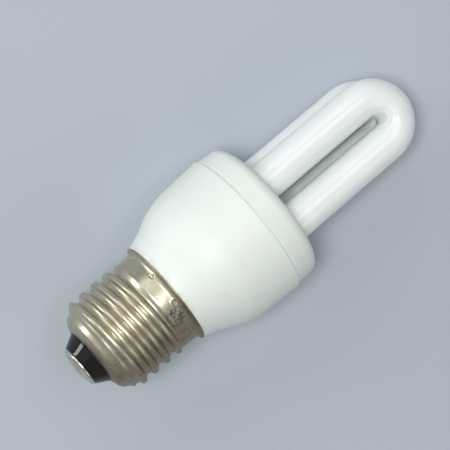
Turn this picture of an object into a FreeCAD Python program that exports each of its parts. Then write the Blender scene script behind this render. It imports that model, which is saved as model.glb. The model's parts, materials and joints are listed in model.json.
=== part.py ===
import FreeCAD, Part

import math
import os
from types import SimpleNamespace

import Sketcher

Vector = FreeCAD.Vector

# A compact fluorescent lamp with two U tubes and a screw cap.
# Every piece is drawn in the lamp's own frame: Z runs along the lamp's axis from the cap to the tubes,
# Z = 0 is the cap's rim, and the two U's lie in planes parallel to XZ.
# At the end all pieces get one placement, which lays the lamp down as it rests on a table.

DIMENSIONS = (
    ("thread_pitch", 3.629, "one turn of the screw shell"),
    ("thread_turns", 4, "crests on the screw shell"),
    ("crest_radius", 13.1, "outside of the thread"),
    ("thread_depth", 1.05, "crest to root"),
    ("crest_flat", 1.0, "width of a crest"),
    ("root_flat", 0.9, "width of a root"),
    ("first_crest_depth", 7.9, "from the rim down to the first crest"),
    ("shell_wall", 0.3, "sheet of the screw shell"),
    ("cone_wall", 0.45, "sheet of the shell's end cone"),
    ("rim_radius", 13.8, "flared rim"),
    ("flare_height", 1.9, "height of the flare"),
    ("collar_radius", 12.5, "plain collar above the thread"),
    ("waist_radius", 10.75, "narrowing below the last crest"),
    ("waist_height", 2.1, "from the last crest to the waist"),
    ("shoulder_radius", 10.2, "round shoulder of the shell's end"),
    ("shoulder_height", 1.1, "from the waist to the shoulder"),
    ("shell_mouth_radius", 7.6, "opening in the shell's end"),
    ("mouth_height", 0.9, "from the shoulder to the opening"),
    ("button_radius", 5.5, "small end of the black glass"),
    ("button_height", 3.5, "glass that stands out of the shell"),
    ("button_inside", 1.9, "glass inside the shell"),
    ("contact_radius", 5.2, "centre contact"),
    ("contact_wall", 0.35, "sheet of the centre contact"),
    ("contact_rim", 0.45, "straight rim of the contact"),
    ("contact_dome", 0.7, "rise of the contact's dome"),
    ("contact_flat_radius", 2.3, "flat middle of the contact"),
    ("solder_height", 0.3, "solder dome on the flat"),
    ("wire_radius", 0.5, "mains wires"),
    ("wire_clearance", 0.05, "hole round a wire"),
    ("neck_depth", 6.0, "housing neck inside the collar"),
    ("neck_wall", 1.2, "wall of the neck"),
    ("housing_foot_radius", 13.82, "housing at the rim"),
    ("housing_waist_height", 5.74, "where the housing's curve turns over"),
    ("housing_waist_inset", 3.28, "how far that is inside the seam's radius"),
    ("housing_hollow_curve", 23.85, "radius of the hollow curve"),
    ("housing_round_curve", 23.2, "radius of the round curve"),
    ("housing_shoulder_height", 15.57, "where the straight side starts"),
    ("housing_shoulder_inset", 0.49, "how far that is inside the seam's radius"),
    ("seam_height", 25.4, "seam between housing and cover"),
    ("seam_radius", 19.33, "housing at the seam"),
    ("housing_wall", 1.6, "wall of the housing"),
    ("ledge_width", 1.5, "ledge that carries the board"),
    ("ledge_height", 17.0, "height of the ledge"),
    ("ledge_cone_height", 9.0, "where the inner cone meets the ledge ring"),
    ("cover_step", 0.38, "cover inside the housing at the seam"),
    ("cover_taper", 0.47, "how far its side leans in up to its top, before rounding"),
    ("cover_height", 7.12, "seam to the cover's top"),
    ("cover_edge", 2.97, "rounding of the cover's edge"),
    ("cover_wall", 1.5, "wall of the cover"),
    ("groove_depth", 0.3, "shadow groove at the seam"),
    ("groove_height", 0.3, "width of that groove"),
    ("spigot_clearance", 0.1, "cover's spigot in the housing"),
    ("spigot_depth", 3.0, "spigot below the seam"),
    ("spigot_wall", 1.2, "wall of the spigot"),
    ("tube_radius", 4.75, "glass tube"),
    ("leg_spacing", 11.9, "legs of one U, between centres"),
    ("plane_spacing", 12.0, "between the planes of the two U's"),
    ("bend_height", 64.1, "centre of the bends above the rim"),
    ("leg_end_height", 22.6, "lower end of the legs"),
    ("leg_end_rounding", 2.6, "rounded end of a leg"),
    ("hole_clearance", 0.15, "round a leg in the cover"),
    ("bridge_radius", 2.4, "glass bridge between the U's"),
    ("bridge_height", 26.2, "height of the bridge"),
    ("pinch_width", 6.6, "flat pinch seal"),
    ("pinch_thickness", 2.2, "thickness of the seal"),
    ("pinch_length", 2.6, "length of the seal"),
    ("cement_margin", 1.83, "from the cover's inside to the cement round the legs"),
    ("cement_thickness", 2.2, "depth of the cement"),
    ("board_clearance", 0.3, "round the board"),
    ("board_thickness", 1.6, "circuit board"),
    ("pin_side", 1.0, "square wrap pin"),
    ("pin_above", 3.0, "pin above the board"),
    ("pin_below", 1.0, "pin below the board"),
    ("pin_flange", 2.0, "pin's flange"),
    ("pin_flange_height", 0.5, "thickness of the flange"),
    ("pin_hole_clearance", 0.05, "board hole past the pin's corners"),
    ("pin_margin", 5.13, "from the housing's bore to the pins, along X"),
    ("inner_pin_offset", 4.4, "inner pins from the middle, along Y"),
    ("outer_pin_offset", 8.4, "outer pins from the middle, along Y"),
    ("lead_radius", 0.25, "tube leads and component leads"),
    ("wrap_wall", 0.35, "wire wrapped on a pin"),
    ("wrap_height", 1.0, "height of the wrapping"),
    ("lead_bend_share", 0.8, "tube lead's bend as a share of its drop"),
    ("choke_width", 13.0, "choke core"),
    ("choke_half_height", 6.2, "one E half"),
    ("choke_depth", 6.0, "core depth"),
    ("choke_back", 2.9, "back of an E half"),
    ("choke_leg", 2.1, "outer leg"),
    ("choke_middle", 3.2, "middle leg"),
    ("choke_offset", 7.0, "choke from the lamp's axis"),
    ("bobbin_wall", 0.7, "bobbin tube and flanges"),
    ("bobbin_clearance", 0.1, "bobbin on the core"),
    ("bobbin_depth", 9.6, "bobbin flanges along Y"),
    ("bobbin_base", 2.0, "bobbin base under the board"),
    ("winding_margin", 0.5, "flange past the winding"),
    ("can_radius", 5.0, "smoothing capacitor"),
    ("can_height", 16.0, "its can"),
    ("can_offset", 4.8, "can from the lamp's axis"),
    ("can_lead_height", 14.0, "leads from the board to the can"),
    ("can_lead_spacing", 5.0, "between its leads"),
    ("can_crimp_depth", 0.5, "rolled groove of the can"),
    ("can_crimp_height", 2.2, "groove from the can's seal"),
    ("cut_margin", 0.5, "how far a cutting solid reaches past the material"),
    ("film_width", 4.0, "film capacitor across"),
    ("film_length", 8.0, "film capacitor along"),
    ("film_height", 7.0, "film capacitor"),
    ("film_x", 9.6, "film capacitors from the axis, along X"),
    ("film_y", 5.0, "film capacitors from the axis, along Y"),
    ("film_edge", 0.6, "rounded edges of the film capacitors"),
    ("transistor_radius", 2.4, "transistor case"),
    ("transistor_flat", 1.3, "flat of the case from its middle"),
    ("transistor_height", 4.8, "transistor case"),
    ("transistor_x", 10.6, "transistors from the axis, along X"),
    ("transistor_y", 3.4, "transistors from the axis, along Y"),
    ("transistor_pitch", 1.27, "between its leads"),
    ("transistor_lead", 0.45, "side of its square leads"),
    ("transistor_drop", 2.2, "lead from board to case"),
    ("toroid_radius", 4.4, "toroid"),
    ("toroid_bore", 2.3, "toroid's hole"),
    ("toroid_height", 3.0, "toroid"),
    ("toroid_offset", 10.6, "toroid from the lamp's axis"),
    ("toroid_wire", 0.4, "drive winding's wire"),
    ("toroid_windings", 3, "drive windings on the toroid"),
    ("toroid_sector", 70.0, "degrees that one drive winding covers"),
    ("diode_radius", 1.2, "rectifier diode"),
    ("diode_height", 4.6, "its case"),
    ("diode_drop", 1.2, "lead from board to case"),
    ("diode_margin", 4.03, "from the housing's bore to the diodes, along X"),
    ("diode_y", 0.6, "first diodes along Y"),
    ("diode_pitch", 3.0, "between diodes"),
    ("resistor_radius", 1.0, "base resistor"),
    ("resistor_height", 3.6, "its body"),
    ("resistor_x", 8.8, "resistors from the axis, along X"),
    ("resistor_y", 8.2, "first resistors along Y"),
    ("resistor_pitch", 3.0, "between resistors"),
    ("fuse_radius", 1.5, "fuse resistor"),
    ("fuse_height", 8.0, "its body"),
    ("fuse_x", 7.4, "fuse resistor along X"),
    ("fuse_y", 11.4, "fuse resistor along Y"),
    ("inductor_radius", 2.0, "input inductor"),
    ("inductor_height", 6.0, "its body"),
    ("inductor_flange", 0.8, "flanges of its drum"),
    ("inductor_groove", 0.5, "depth of the drum's waist"),
    ("diac_radius", 0.9, "diac"),
    ("diac_height", 3.8, "its body"),
    ("diac_x", 11.6, "diac along X"),
    ("diac_y", 9.2, "diac along Y"),
    ("disc_radius", 2.2, "disc capacitor and thermistor"),
    ("disc_thickness", 2.0, "disc capacitor and thermistor"),
    ("disc_x", 11.8, "disc capacitor along X"),
    ("disc_y", 7.3, "disc capacitor along Y"),
    ("thermistor_margin", 3.53, "from the housing's bore to the thermistor"),
    ("mains_wire_offset", 1.3, "mains wires from the axis, along Y"),
    ("neutral_wire_x", 3.0, "neutral wire along X"),
    ("live_bend_height", 16.0, "where the live wire turns to the contact"),
    ("live_entry_height", 20.0, "where it enters the glass"),
    ("neutral_bend_height", 4.5, "where the neutral wire turns to the shell"),
    ("neutral_joint_height", 9.4, "where it meets the shell"),
    ("wire_bend", 3.0, "bend radius of the mains wires"),
)


class Size:
    """A length that knows its number and the sheet expression that gives it."""

    def __init__(self, number, text):
        self.number = float(number)
        self.text = text

    def __add__(self, other):
        other = sized(other)
        return Size(self.number + other.number, f"({self.text} + {other.text})")

    def __sub__(self, other):
        other = sized(other)
        return Size(self.number - other.number, f"({self.text} - {other.text})")

    def __mul__(self, other):
        other = sized(other)
        return Size(self.number * other.number, f"({self.text} * {other.text})")

    def __truediv__(self, other):
        other = sized(other)
        return Size(self.number / other.number, f"({self.text} / {other.text})")

    def __neg__(self):
        return Size(-self.number, f"(0 - {self.text})")

    def __radd__(self, other):
        return sized(other) + self

    def __rsub__(self, other):
        return sized(other) - self

    def __rmul__(self, other):
        return sized(other) * self


def sized(value):
    return value if isinstance(value, Size) else Size(value, repr(float(value)))


doc = FreeCAD.newDocument("compact_fluorescent_lamp")
sheet = doc.addObject("Spreadsheet::Sheet", "Dims")
d = SimpleNamespace()
for row, (alias, number, note) in enumerate(DIMENSIONS, start=1):
    sheet.set(f"A{row}", alias)
    sheet.set(f"B{row}", str(number))
    sheet.set(f"C{row}", note)
    sheet.setAlias(f"B{row}", alias)
    setattr(d, alias, Size(number, f"Dims.{alias}"))
doc.recompute()

pieces = []


def keep(piece, node):
    """Names a finished piece and puts it on the list of pieces to write."""
    piece.Label = node
    pieces.append(piece)
    return piece


# Sketches and turned pieces

def origin_feature(body, role):
    return next(item for item in body.Origin.OriginFeatures if item.Role == role)


def pin_point(sketch, geometry, end, corner):
    """Fixes one end of a line or arc at a corner given as two sizes."""
    for kind, size in zip(("DistanceX", "DistanceY"), corner):
        index = sketch.addConstraint(Sketcher.Constraint(kind, -1, 1, geometry, end, size.number))
        sketch.setExpression(f"Constraints[{index}]", size.text)


def arc_between(start, end, radius, left):
    """An arc with its centre on the left or right of the way, and whether its ends are reversed."""
    chord = end - start
    middle = (start + end) * 0.5
    side = Vector(-chord.y, chord.x, 0).normalize() * (1 if left else -1)
    centre = middle + side * math.sqrt(max(radius ** 2 - chord.Length ** 2 / 4, 0))
    first, last = (start, end) if left else (end, start)
    angles = [math.atan2(point.y - centre.y, point.x - centre.x) for point in (first, last)]
    return Part.ArcOfCircle(Part.Circle(centre, Vector(0, 0, 1), radius), *angles), not left


def closed_outline(sketch, corners, arcs=None):
    """Lines, or arcs where arcs names the edge that starts at a corner, closed round the corners."""
    arcs = arcs or {}
    corners = [tuple(sized(value) for value in corner) for corner in corners]
    points = [Vector(x.number, y.number, 0) for x, y in corners]
    ends = []
    for index, point in enumerate(points):
        following = points[(index + 1) % len(points)]
        if index in arcs:
            radius, left = arcs[index]
            shape, turned_round = arc_between(point, following, radius.number, left)
            geometry = sketch.addGeometry(shape, False)
            constraint = sketch.addConstraint(Sketcher.Constraint("Radius", geometry, radius.number))
            sketch.setExpression(f"Constraints[{constraint}]", radius.text)
        else:
            geometry = sketch.addGeometry(Part.LineSegment(point, following), False)
            turned_round = False
        ends.append((geometry, 2 if turned_round else 1, 1 if turned_round else 2))
    for index, (geometry, first, last) in enumerate(ends):
        next_geometry, next_first, _ = ends[(index + 1) % len(ends)]
        sketch.addConstraint(Sketcher.Constraint("Coincident", geometry, last, next_geometry, next_first))
        pin_point(sketch, geometry, first, corners[index])


def ring_outline(sketch, radius, centre=(0, 0)):
    """A full circle at a centre given as two sizes."""
    radius = sized(radius)
    centre = tuple(sized(value) for value in centre)
    middle = Vector(centre[0].number, centre[1].number, 0)
    geometry = sketch.addGeometry(Part.Circle(middle, Vector(0, 0, 1), radius.number), False)
    constraint = sketch.addConstraint(Sketcher.Constraint("Radius", geometry, radius.number))
    sketch.setExpression(f"Constraints[{constraint}]", radius.text)
    pin_point(sketch, geometry, 3, centre)


def new_sketch(body, name, role="XZ_Plane", offset=None):
    sketch = body.newObject("Sketcher::SketchObject", name)
    sketch.AttachmentSupport = [(origin_feature(body, role), "")]
    sketch.MapMode = "FlatFace"
    if offset is not None:
        sketch.setExpression("AttachmentOffset.Base.z", sized(offset).text)
    return sketch


def new_body(name):
    return doc.addObject("PartDesign::Body", name)


def turn(body, corners, arcs=None, cut=False):
    """Turns an outline of radius and height about the lamp's axis, to add or to cut away."""
    kind = "Groove" if cut else "Revolution"
    count = len(body.Group)
    sketch = new_sketch(body, f"{body.Name}_outline_{count}")
    closed_outline(sketch, corners, arcs)
    feature = body.newObject(f"PartDesign::{kind}", f"{body.Name}_{kind.lower()}_{count}")
    feature.Profile = sketch
    feature.ReferenceAxis = (sketch, ["V_Axis"])
    feature.Angle = 360
    doc.recompute()
    return feature


def pad(body, draw, base, length, role="XY_Plane", middle=False):
    """Pads what draw puts into a sketch at a height above the plane."""
    count = len(body.Group)
    sketch = new_sketch(body, f"{body.Name}_outline_{count}", role, base)
    draw(sketch)
    feature = body.newObject("PartDesign::Pad", f"{body.Name}_pad_{count}")
    feature.Profile = sketch
    feature.setExpression("Length", sized(length).text)
    feature.Midplane = middle
    doc.recompute()
    return feature


def round_edges(body, name, radius, chosen):
    """Rounds every edge of the body's last shape that chosen accepts."""
    base = body.Tip
    edges = [f"Edge{index}" for index, edge in enumerate(base.Shape.Edges, start=1) if chosen(edge)]
    fillet = body.newObject("PartDesign::Fillet", name)
    fillet.Base = (base, edges)
    fillet.setExpression("Radius", sized(radius).text)
    doc.recompute()
    return fillet


def is_circle_at(height, radius):
    def accept(edge):
        box = edge.BoundBox
        flat = box.ZLength < 0.001 and abs(box.ZMin - height.number) < 0.001
        return flat and abs(box.XLength / 2 - radius.number) < 0.001
    return accept


# Primitives placed by sizes

def place(item, corner):
    for axis, value in zip("xyz", corner):
        item.setExpression(f"Placement.Base.{axis}", sized(value).text)


def block(name, corner, length, width, height):
    item = doc.addObject("Part::Box", name)
    for key, value in (("Length", length), ("Width", width), ("Height", height)):
        item.setExpression(key, sized(value).text)
    place(item, corner)
    return item


def centred_block(name, centre, base, length, width, height):
    """A block standing on a height, centred on a point."""
    corner = (sized(centre[0]) - sized(length) / 2, sized(centre[1]) - sized(width) / 2, base)
    return block(name, corner, length, width, height)


def rod(name, foot, radius, height, angle=None):
    item = doc.addObject("Part::Cylinder", name)
    item.setExpression("Radius", sized(radius).text)
    item.setExpression("Height", sized(height).text)
    if angle is not None:
        item.setExpression("Angle", sized(angle).text)
    place(item, foot)
    return item


def joined(name, parts):
    item = doc.addObject("Part::MultiFuse", name)
    item.Shapes = parts
    return item


def less(name, base, tool):
    item = doc.addObject("Part::Cut", name)
    item.Base = base
    item.Tool = tool
    return item


# Screw cap

last_crest = -(d.first_crest_depth + (d.thread_turns - 1) * d.thread_pitch)
flank_run = (d.thread_pitch - d.crest_flat - d.root_flat) / 2
thread_top = -(d.first_crest_depth - d.crest_flat / 2)
thread_bottom = last_crest - d.crest_flat / 2
waist_level = thread_bottom - d.waist_height
shoulder_level = waist_level - d.shoulder_height
mouth_level = shoulder_level - d.mouth_height
root_radius = d.crest_radius - d.thread_depth
collar_inside = d.collar_radius - d.shell_wall
rim_inside = d.rim_radius - d.shell_wall
crest_inside = d.crest_radius - d.shell_wall
root_inside = root_radius - d.shell_wall
collar_bottom = thread_top + flank_run
waist_inside = (d.waist_radius - d.shell_wall, waist_level + d.shell_wall / 2)
cone_slope = d.waist_height / (d.crest_radius - d.waist_radius)
cone_level = waist_level + (root_inside + d.cone_wall - d.waist_radius) * cone_slope
shoulder_inside = (d.shoulder_radius - d.shell_wall, shoulder_level + d.shell_wall)
mouth_inside = (d.shell_mouth_radius, mouth_level + d.shell_wall)


def repeat_down_thread(body, feature, count):
    """Repeats a groove once per turn of the thread, towards the contact."""
    pattern = body.newObject("PartDesign::LinearPattern", f"{feature.Name}_turns")
    pattern.Originals = [feature]
    pattern.Direction = (origin_feature(body, "Z_Axis"), [""])
    pattern.Reversed = True
    pattern.setExpression("Length", ((count - 1) * d.thread_pitch).text)
    pattern.setExpression("Occurrences", count.text)
    body.Tip = pattern
    doc.recompute()


def make_cap_shell():
    """Rolled sheet: collar with flared rim, crests and roots in step on both faces, round end."""
    body = new_body("cap_shell")
    turn(body, [
        (d.rim_radius, 0),
        (rim_inside, 0),
        (collar_inside, -d.flare_height),
        (collar_inside, collar_bottom),
        (root_inside, collar_bottom),
        (root_inside, cone_level),
        waist_inside,
        shoulder_inside,
        mouth_inside,
        (d.shell_mouth_radius, mouth_level),
        (d.shoulder_radius, shoulder_level),
        (d.waist_radius, waist_level),
        (d.crest_radius, thread_bottom),
        (d.crest_radius, thread_top),
        (d.collar_radius, collar_bottom),
        (d.collar_radius, -d.flare_height),
    ])
    root = -(d.first_crest_depth + d.thread_pitch / 2)
    outside = d.crest_radius + d.shell_wall
    slope = flank_run / d.thread_depth * d.shell_wall
    valley = turn(body, [
        (root_radius, root - d.root_flat / 2),
        (root_radius, root + d.root_flat / 2),
        (outside, root + d.root_flat / 2 + flank_run + slope),
        (outside, root - d.root_flat / 2 - flank_run - slope),
    ], cut=True)
    repeat_down_thread(body, valley, d.thread_turns - 1)
    inside = root_inside - d.shell_wall
    crest = -d.first_crest_depth
    ridge = turn(body, [
        (crest_inside, crest - d.crest_flat / 2 + d.shell_wall / 2),
        (crest_inside, crest + d.crest_flat / 2 - d.shell_wall / 2),
        (inside, crest + d.crest_flat / 2 + flank_run + slope - d.shell_wall / 2),
        (inside, crest - d.crest_flat / 2 - flank_run - slope + d.shell_wall / 2),
    ], cut=True)
    repeat_down_thread(body, ridge, d.thread_turns)
    return keep(body, "cap_shell")


button_end = mouth_level - d.button_height
wire_hole = d.wire_radius + d.wire_clearance
contact_face = button_end - d.contact_rim - d.contact_dome


def make_cap_insulator():
    """Black glass poured into the shell's end, with a hole for the live wire."""
    body = new_body("cap_insulator")
    top = mouth_inside[1] + d.button_inside
    turn(body, [
        (wire_hole, button_end),
        (wire_hole, top),
        (waist_inside[0], top),
        waist_inside,
        shoulder_inside,
        mouth_inside,
        (d.shell_mouth_radius, mouth_level),
        (d.button_radius, button_end),
    ])
    return keep(body, "cap_insulator")


def make_centre_contact():
    """Domed sheet disc on the glass, pierced for the live wire."""
    body = new_body("centre_contact")
    run = d.contact_radius - d.contact_flat_radius
    sphere = (run * run + d.contact_dome * d.contact_dome) / (2 * d.contact_dome)
    turn(body, [
        (wire_hole, contact_face + d.contact_wall),
        (d.contact_flat_radius, contact_face + d.contact_wall),
        (d.contact_radius - d.contact_wall, button_end - d.contact_rim + d.contact_wall / 2),
        (d.contact_radius - d.contact_wall, button_end),
        (d.contact_radius, button_end),
        (d.contact_radius, button_end - d.contact_rim),
        (d.contact_flat_radius, contact_face),
        (wire_hole, contact_face),
    ], {5: (sphere, False)})
    return keep(body, "centre_contact")


def make_contact_solder():
    """Shallow dome of solder that closes the contact's hole."""
    body = new_body("contact_solder")
    reach = d.contact_flat_radius
    sphere = (reach * reach + d.solder_height * d.solder_height) / (2 * d.solder_height)
    turn(body, [
        (0, contact_face),
        (reach, contact_face),
        (0, contact_face - d.solder_height),
    ], {1: (sphere, False)})
    return keep(body, "contact_solder")


# Housing and cover

board_level = d.ledge_height
board_top = board_level + d.board_thickness
housing_waist_radius = d.seam_radius - d.housing_waist_inset
housing_shoulder_radius = d.seam_radius - d.housing_shoulder_inset
housing_bore = d.seam_radius - d.housing_wall
ledge_bore = housing_bore - d.ledge_width
neck_bore = collar_inside - d.neck_wall
cover_radius = d.seam_radius - d.cover_step
cover_top_radius = cover_radius - d.cover_taper
cover_top = d.seam_height + d.cover_height
spigot_radius = housing_bore - d.spigot_clearance
cover_inside = spigot_radius - d.spigot_wall
leg_x = d.leg_spacing / 2
plane_y = d.plane_spacing / 2
legs = [(leg_x * side, plane_y * face) for side in (-1, 1) for face in (-1, 1)]


def make_housing_cup():
    """Moulded cup: neck in the cap's collar, hollow then round shoulder, ledge for the board."""
    body = new_body("housing_cup")
    turn(body, [
        (neck_bore, -d.neck_depth),
        (collar_inside, -d.neck_depth),
        (collar_inside, -d.flare_height),
        (rim_inside, 0),
        (d.housing_foot_radius, 0),
        (housing_waist_radius, d.housing_waist_height),
        (housing_shoulder_radius, d.housing_shoulder_height),
        (d.seam_radius, d.seam_height),
        (housing_bore, d.seam_height),
        (housing_bore, board_level),
        (ledge_bore, board_level),
        (ledge_bore, d.ledge_cone_height),
        (neck_bore, 0),
    ], {4: (d.housing_hollow_curve, False), 5: (d.housing_round_curve, True)})
    return keep(body, "housing_cup")


def make_tube_cover():
    """Moulded cover: spigot in the housing, shadow groove, tapered side, rounded edge, four holes."""
    body = new_body("tube_cover")
    turn(body, [
        (cover_inside, d.seam_height - d.spigot_depth),
        (spigot_radius, d.seam_height - d.spigot_depth),
        (spigot_radius, d.seam_height),
        (cover_radius - d.groove_depth, d.seam_height),
        (cover_radius - d.groove_depth, d.seam_height + d.groove_height),
        (cover_radius, d.seam_height + d.groove_height),
        (cover_top_radius, cover_top),
        (0, cover_top),
        (0, cover_top - d.cover_wall),
        (cover_inside, cover_top - d.cover_wall),
    ])
    round_edges(body, "tube_cover_edge", d.cover_edge, is_circle_at(cover_top, cover_top_radius))
    sketch = new_sketch(body, "tube_cover_holes", "XY_Plane", cover_top)
    for leg in legs:
        ring_outline(sketch, d.tube_radius + d.hole_clearance, leg)
    pocket = body.newObject("PartDesign::Pocket", "tube_cover_pocket")
    pocket.Profile = sketch
    pocket.setExpression("Length", (d.cover_wall * 2).text)
    doc.recompute()
    return keep(body, "tube_cover")


def make_tube_cement():
    """Cement under the cover, cast round the four legs."""
    body = new_body("tube_cement")
    top = cover_top - d.cover_wall

    def draw(sketch):
        ring_outline(sketch, cover_inside - d.cement_margin)
        for leg in legs:
            ring_outline(sketch, d.tube_radius, leg)

    pad(body, draw, top - d.cement_thickness, d.cement_thickness)
    return keep(body, "tube_cement")


# Discharge tube

def draw_u(sketch):
    """The centre line of one U: up, round the bend and down."""
    end, bend = d.leg_end_height, d.bend_height
    low = [Vector(side * leg_x.number, end.number, 0) for side in (1, -1)]
    high = [Vector(side * leg_x.number, bend.number, 0) for side in (1, -1)]
    centre = Vector(0, bend.number, 0)
    up = sketch.addGeometry(Part.LineSegment(low[0], high[0]), False)
    circle = Part.Circle(centre, Vector(0, 0, 1), leg_x.number)
    arc = sketch.addGeometry(Part.ArcOfCircle(circle, 0, math.pi), False)
    down = sketch.addGeometry(Part.LineSegment(high[1], low[1]), False)
    sketch.addConstraint(Sketcher.Constraint("Coincident", up, 2, arc, 1))
    sketch.addConstraint(Sketcher.Constraint("Coincident", arc, 2, down, 1))
    pin_point(sketch, up, 1, (leg_x, end))
    pin_point(sketch, arc, 1, (leg_x, bend))
    pin_point(sketch, arc, 3, (sized(0), bend))
    level = sketch.addConstraint(Sketcher.Constraint("DistanceY", -1, 1, arc, 2, bend.number))
    sketch.setExpression(f"Constraints[{level}]", bend.text)
    pin_point(sketch, down, 2, (-leg_x, end))


def sweep_u(body, name, plane):
    """One U tube, swept along its centre line in a plane parallel to XZ."""
    spine = new_sketch(body, f"{name}_line", "XZ_Plane", -plane)
    draw_u(spine)
    section = new_sketch(body, f"{name}_section", "XY_Plane", d.leg_end_height)
    ring_outline(section, d.tube_radius, (leg_x, plane))
    pipe = body.newObject("PartDesign::AdditivePipe", name)
    pipe.Profile = section
    pipe.Spine = (spine, [f"Edge{index}" for index in (1, 2, 3)])
    doc.recompute()
    return pipe


def make_discharge_tube():
    """Two U tubes and their bridge, closed at every end: one sealed piece of glass."""
    body = new_body("discharge_tube")
    sweep_u(body, "front_u", plane_y)

    def draw_bridge(sketch):
        ring_outline(sketch, d.bridge_radius, (leg_x, d.bridge_height))

    pad(body, draw_bridge, 0, d.plane_spacing, role="XZ_Plane", middle=True)
    sweep_u(body, "rear_u", -plane_y)

    def is_leg_end(edge):
        box = edge.BoundBox
        return box.ZLength < 0.001 and abs(box.ZMin - d.leg_end_height.number) < 0.001

    round_edges(body, "leg_ends", d.leg_end_rounding, is_leg_end)

    def draw_seals(sketch):
        for face in (-1, 1):
            x, y = -leg_x, plane_y * face
            wide, thick = d.pinch_width / 2, d.pinch_thickness / 2
            closed_outline(sketch, [
                (x - thick, y - wide), (x + thick, y - wide), (x + thick, y + wide), (x - thick, y + wide),
            ])

    seal_length = d.pinch_length + d.leg_end_rounding
    pad(body, draw_seals, d.leg_end_height - d.pinch_length, seal_length)
    return keep(body, "discharge_tube")


# Circuit board and what hangs under it

pin_offsets = (d.inner_pin_offset, d.outer_pin_offset)
pin_places = [(d.pin_margin - housing_bore, side * offset) for side in (-1, 1) for offset in pin_offsets]


def make_circuit_board():
    body = new_body("circuit_board")
    hole = d.pin_side * math.sqrt(0.5) + d.pin_hole_clearance

    def draw(sketch):
        ring_outline(sketch, housing_bore - d.board_clearance)
        for centre in pin_places:
            ring_outline(sketch, hole, centre)

    pad(body, draw, board_level, d.board_thickness)
    return keep(body, "circuit_board")


def make_wrap_pin(number, centre):
    """Square pin through the board, seated on its flange."""
    name = f"wrap_pin_{number}"
    stem = centred_block(f"{name}_stem", centre, board_level - d.pin_below, d.pin_side, d.pin_side,
                         d.pin_below + d.board_thickness + d.pin_above)
    side = d.pin_flange
    flange = centred_block(f"{name}_flange", centre, board_top, side, side, d.pin_flange_height)
    return keep(joined(name, [stem, flange]), name)


choke_y = -d.choke_offset
choke_top = board_level - d.bobbin_base
choke_middle_level = choke_top - d.choke_half_height
choke_bottom = choke_middle_level - d.choke_half_height


def make_choke_half(name, back_level, up):
    """One ferrite E: a back and three legs, padded through its depth."""
    body = new_body(name)
    half, leg, middle = d.choke_width / 2, d.choke_leg, d.choke_middle / 2
    tip = back_level + d.choke_half_height * up
    root = back_level + d.choke_back * up

    def draw(sketch):
        closed_outline(sketch, [
            (-half, back_level), (half, back_level), (half, tip), (half - leg, tip),
            (half - leg, root), (middle, root), (middle, tip), (-middle, tip),
            (-middle, root), (leg - half, root), (leg - half, tip), (-half, tip),
        ])

    pad(body, draw, d.choke_offset, d.choke_depth, role="XZ_Plane", middle=True)
    return keep(body, name)


def make_choke_bobbin():
    """Base under the board, two flanges and the square tube on the middle leg."""
    tube_x = d.choke_middle + 2 * d.bobbin_clearance
    tube_y = d.choke_depth + 2 * d.bobbin_clearance
    window = d.choke_width - 2 * d.choke_leg - 2 * d.bobbin_clearance
    low = choke_bottom + d.choke_back + d.bobbin_clearance
    height = 2 * (d.choke_half_height - d.choke_back - d.bobbin_clearance)
    centre = (0, choke_y)
    outer_x, outer_y = tube_x + 2 * d.bobbin_wall, tube_y + 2 * d.bobbin_wall
    tube = centred_block("bobbin_tube", centre, low, outer_x, outer_y, height)
    lower = centred_block("bobbin_lower_flange", centre, low, window, d.bobbin_depth, d.bobbin_wall)
    upper = centred_block("bobbin_upper_flange", centre, low + height - d.bobbin_wall,
                          window, d.bobbin_depth, d.bobbin_wall)
    base = centred_block("bobbin_base", centre, choke_top, d.choke_width, d.bobbin_depth, d.bobbin_base)
    cheek_y = choke_y - d.bobbin_depth / 2
    cheek_height = choke_top - (low + height)
    cheek = block("bobbin_cheek", (-window / 2, cheek_y, low + height), window, d.bobbin_wall, cheek_height)
    bore = centred_block("bobbin_bore", centre, low, tube_x, tube_y, height)
    body = joined("bobbin_body", [tube, lower, upper, base, cheek])
    return keep(less("choke_bobbin", body, bore), "choke_bobbin")


def make_choke_winding():
    """The wound copper, one block round the bobbin's tube."""
    inner_x = d.choke_middle + 2 * (d.bobbin_clearance + d.bobbin_wall)
    inner_y = d.choke_depth + 2 * (d.bobbin_clearance + d.bobbin_wall)
    outer_x = d.choke_width - 2 * d.choke_leg - 2 * d.winding_margin
    outer_y = d.bobbin_depth - 2 * d.winding_margin
    low = choke_bottom + d.choke_back + d.bobbin_clearance + d.bobbin_wall
    height = 2 * (d.choke_half_height - d.choke_back - d.bobbin_clearance - d.bobbin_wall)
    centre = (0, choke_y)
    outer = centred_block("winding_outside", centre, low, outer_x, outer_y, height)
    inner = centred_block("winding_inside", centre, low, inner_x, inner_y, height)
    return keep(less("choke_winding", outer, inner), "choke_winding")


def make_smoothing_capacitor():
    """Electrolytic can that reaches into the cap, with a rolled groove at its seal and two long leads."""
    seal = board_level - d.can_lead_height
    foot = seal - d.can_height
    centre = (0, d.can_offset)
    can = rod("can_body", (*centre, foot), d.can_radius, d.can_height)
    groove = (*centre, seal - d.can_crimp_height)
    ring = rod("can_groove_outside", groove, d.can_radius + d.cut_margin, d.can_crimp_depth)
    core = rod("can_groove_inside", groove, d.can_radius - d.can_crimp_depth, d.can_crimp_depth)
    grooved = less("can_grooved", can, less("can_groove", ring, core))
    half = d.can_lead_spacing / 2
    leads = [rod(f"can_lead_{index}", (half * side, d.can_offset, seal), d.lead_radius, d.can_lead_height)
             for index, side in enumerate((-1, 1))]
    return keep(joined("smoothing_capacitor", [grooved, *leads]), "smoothing_capacitor")


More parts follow.
